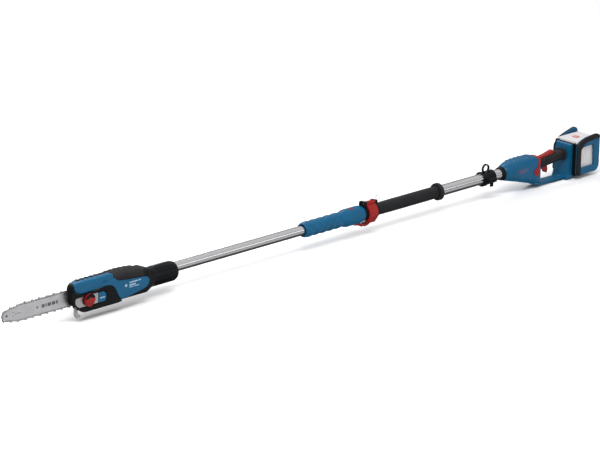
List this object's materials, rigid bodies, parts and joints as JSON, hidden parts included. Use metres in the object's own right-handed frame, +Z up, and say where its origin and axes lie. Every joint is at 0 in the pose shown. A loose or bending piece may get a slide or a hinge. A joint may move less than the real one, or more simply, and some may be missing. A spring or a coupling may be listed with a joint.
{
  "type": "telescoping pole saw",
  "caption": "Battery chain saw head on a two-piece telescoping pole with a foam grip, a strap eye and a looped rear handle that holds the battery between side guards.",
  "frame": {"origin": "centre of the rear foot's sole, on the floor, straight below the pole's axis", "axes": "+X along the pole from the saw head to the rear handle, +Z up, -Y towards the chain cover's side"},
  "size_m": [2.3214, 0.099, 0.129],
  "materials": {
    "blue_shell": "satin moulded blue",
    "black_shell": "fine-textured black",
    "black_rubber": "matt moulded rubber",
    "red_plastic": "satin red",
    "bare_tube": "drawn and brushed",
    "tool_steel": "ground",
    "dark_steel": "phosphated",
    "chain_steel": "blued and worn",
    "cover_metal": "brushed sheet",
    "cast_grey": "as cast",
    "foam": "fine closed-cell foam",
    "pack_case": "pale grey moulded",
    "cell_wrap": "shrink wrap",
    "winding": "enamelled copper and lamination",
    "tank": "milky polyethylene",
    "lead": "cable jacket",
    "board": "lacquered board",
    "nylon": "dry nylon"
  },
  "bodies": {
    "handle": {"outer_tube": "bare_tube", "sleeve_near": "blue_shell", "sleeve_far": "blue_shell", "clamp_collar": "black_shell", "clamp_pin": "tool_steel", "pin_clip": "tool_steel", "foam_grip": "foam", "grip_end_ring": "black_rubber", "coil_lead": "lead", "nose_ring": "black_shell", "handle_shell_near": "blue_shell", "handle_shell_far": "blue_shell", "handle_trim": "red_plastic", "grip_cover": "black_rubber", "trigger_switch": "nylon", "control_board": "board", "battery_cradle": "black_shell", "guard_near": "blue_shell", "guard_far": "blue_shell", "guard_bumpers": "black_rubber", "rear_foot": "black_rubber", "handle_fasteners": "dark_steel"},
    "saw_head": {"inner_tube": "bare_tube", "slide_bush": "nylon", "front_lead": "lead", "housing_far": "black_shell", "housing_near": "black_shell", "top_cover": "blue_shell", "top_ridge": "black_shell", "top_pad": "black_rubber", "side_panel": "blue_shell", "chain_cover": "black_shell", "cover_plate": "cover_metal", "cover_insert": "blue_shell", "bar_stud": "dark_steel", "guide_bar": "tool_steel", "saw_chain": "chain_steel", "branch_hook": "cast_grey", "bumper_spikes": "dark_steel", "motor_stator": "winding", "bearings": "tool_steel", "oil_tank": "tank", "head_screws": "dark_steel"},
    "motor_rotor": {"rotor": "dark_steel"},
    "sprocket_shaft": {"drive_sprocket": "dark_steel", "output_gear": "dark_steel"},
    "bar_nose": {"nose_sprocket": "dark_steel"},
    "cover_knob": {"bar_knob": "red_plastic", "knob_cap": "black_shell"},
    "oil_filler": {"oil_cap": "black_shell"},
    "pole_clamp_lever": {"clamp_lever": "red_plastic"},
    "pole_catch": {"release_catch": "red_plastic"},
    "strap_eye_clamp": {"strap_clamp_upper": "black_shell", "strap_clamp_lower": "black_shell"},
    "strap_wing_screw": {"strap_screw": "black_shell"},
    "trigger": {"trigger": "red_plastic"},
    "trigger_lock": {"lock_lever": "red_plastic"},
    "battery": {"battery_case": "pack_case", "battery_cells": "cell_wrap"},
    "battery_button": {"battery_latch": "red_plastic"}
  },
  "joints": [
    {"name": "pole_slide", "type": "slide", "parent": "handle", "child": "saw_head", "axis": [1, 0, 0], "range_m": [-0.06, 0.46]},
    {"name": "motor_spin", "type": "hinge", "parent": "saw_head", "child": "motor_rotor", "pos_m": [-1.75, 0, 0.068], "axis": [1, 0, 0], "continuous": true},
    {"name": "sprocket_spin", "type": "hinge", "parent": "saw_head", "child": "sprocket_shaft", "pos_m": [-1.885, -0.013, 0.068], "axis": [0, 1, 0], "continuous": true},
    {"name": "nose_spin", "type": "hinge", "parent": "saw_head", "child": "bar_nose", "pos_m": [-2.189, -0.013, 0.071], "axis": [0, 1, 0], "continuous": true},
    {"name": "bar_knob_turn", "type": "hinge", "parent": "saw_head", "child": "cover_knob", "pos_m": [-1.916, -0.037, 0.06], "axis": [0, -1, 0], "continuous": true},
    {"name": "oil_cap_turn", "type": "hinge", "parent": "saw_head", "child": "oil_filler", "pos_m": [-1.935, -0.005, 0.106], "axis": [0, 1, 0], "range_deg": [0, 90]},
    {"name": "clamp_lever_open", "type": "hinge", "parent": "handle", "child": "pole_clamp_lever", "pos_m": [-0.825, -0.009, 0.0985], "axis": [-1, 0, 0], "range_deg": [0, 140]},
    {"name": "release_catch_press", "type": "hinge", "parent": "handle", "child": "pole_catch", "pos_m": [-0.88, 0, 0.044], "axis": [0, 1, 0], "range_deg": [-2.5, 0], "stiffness_Nm_per_rad": 0.6, "springref_deg": 5.73},
    {"name": "strap_eye_slide", "type": "slide", "parent": "handle", "child": "strap_eye_clamp", "axis": [1, 0, 0], "range_m": [-0.14, 0.026]},
    {"name": "strap_screw_turn", "type": "hinge", "parent": "strap_eye_clamp", "child": "strap_wing_screw", "pos_m": [-0.333, -0.026, 0.056], "axis": [0, 0, 1], "continuous": true},
    {"name": "trigger_pull", "type": "hinge", "parent": "handle", "child": "trigger", "pos_m": [-0.103, 0, 0.055], "axis": [0, -1, 0], "range_deg": [0, 8], "stiffness_Nm_per_rad": 0.5, "springref_deg": -6.88},
    {"name": "lock_lever_press", "type": "hinge", "parent": "handle", "child": "trigger_lock", "pos_m": [-0.104, 0, 0.083], "axis": [0, 1, 0], "range_deg": [0, 5], "stiffness_Nm_per_rad": 0.5, "springref_deg": -6.88},
    {"name": "battery_lift", "type": "slide", "parent": "handle", "child": "battery", "axis": [0, 0, 1], "range_m": [0, 0.1]},
    {"name": "battery_button_press", "type": "slide", "parent": "battery", "child": "battery_button", "axis": [0, 0, -1], "range_m": [0, 0.002], "stiffness_N_per_m": 800, "springref_m": -0.002}
  ],
  "couplings": [
    {"joint": "sprocket_spin", "follows": "motor_spin", "ratio": -0.33333},
    {"joint": "nose_spin", "follows": "motor_spin", "ratio": -0.25926}
  ]
}
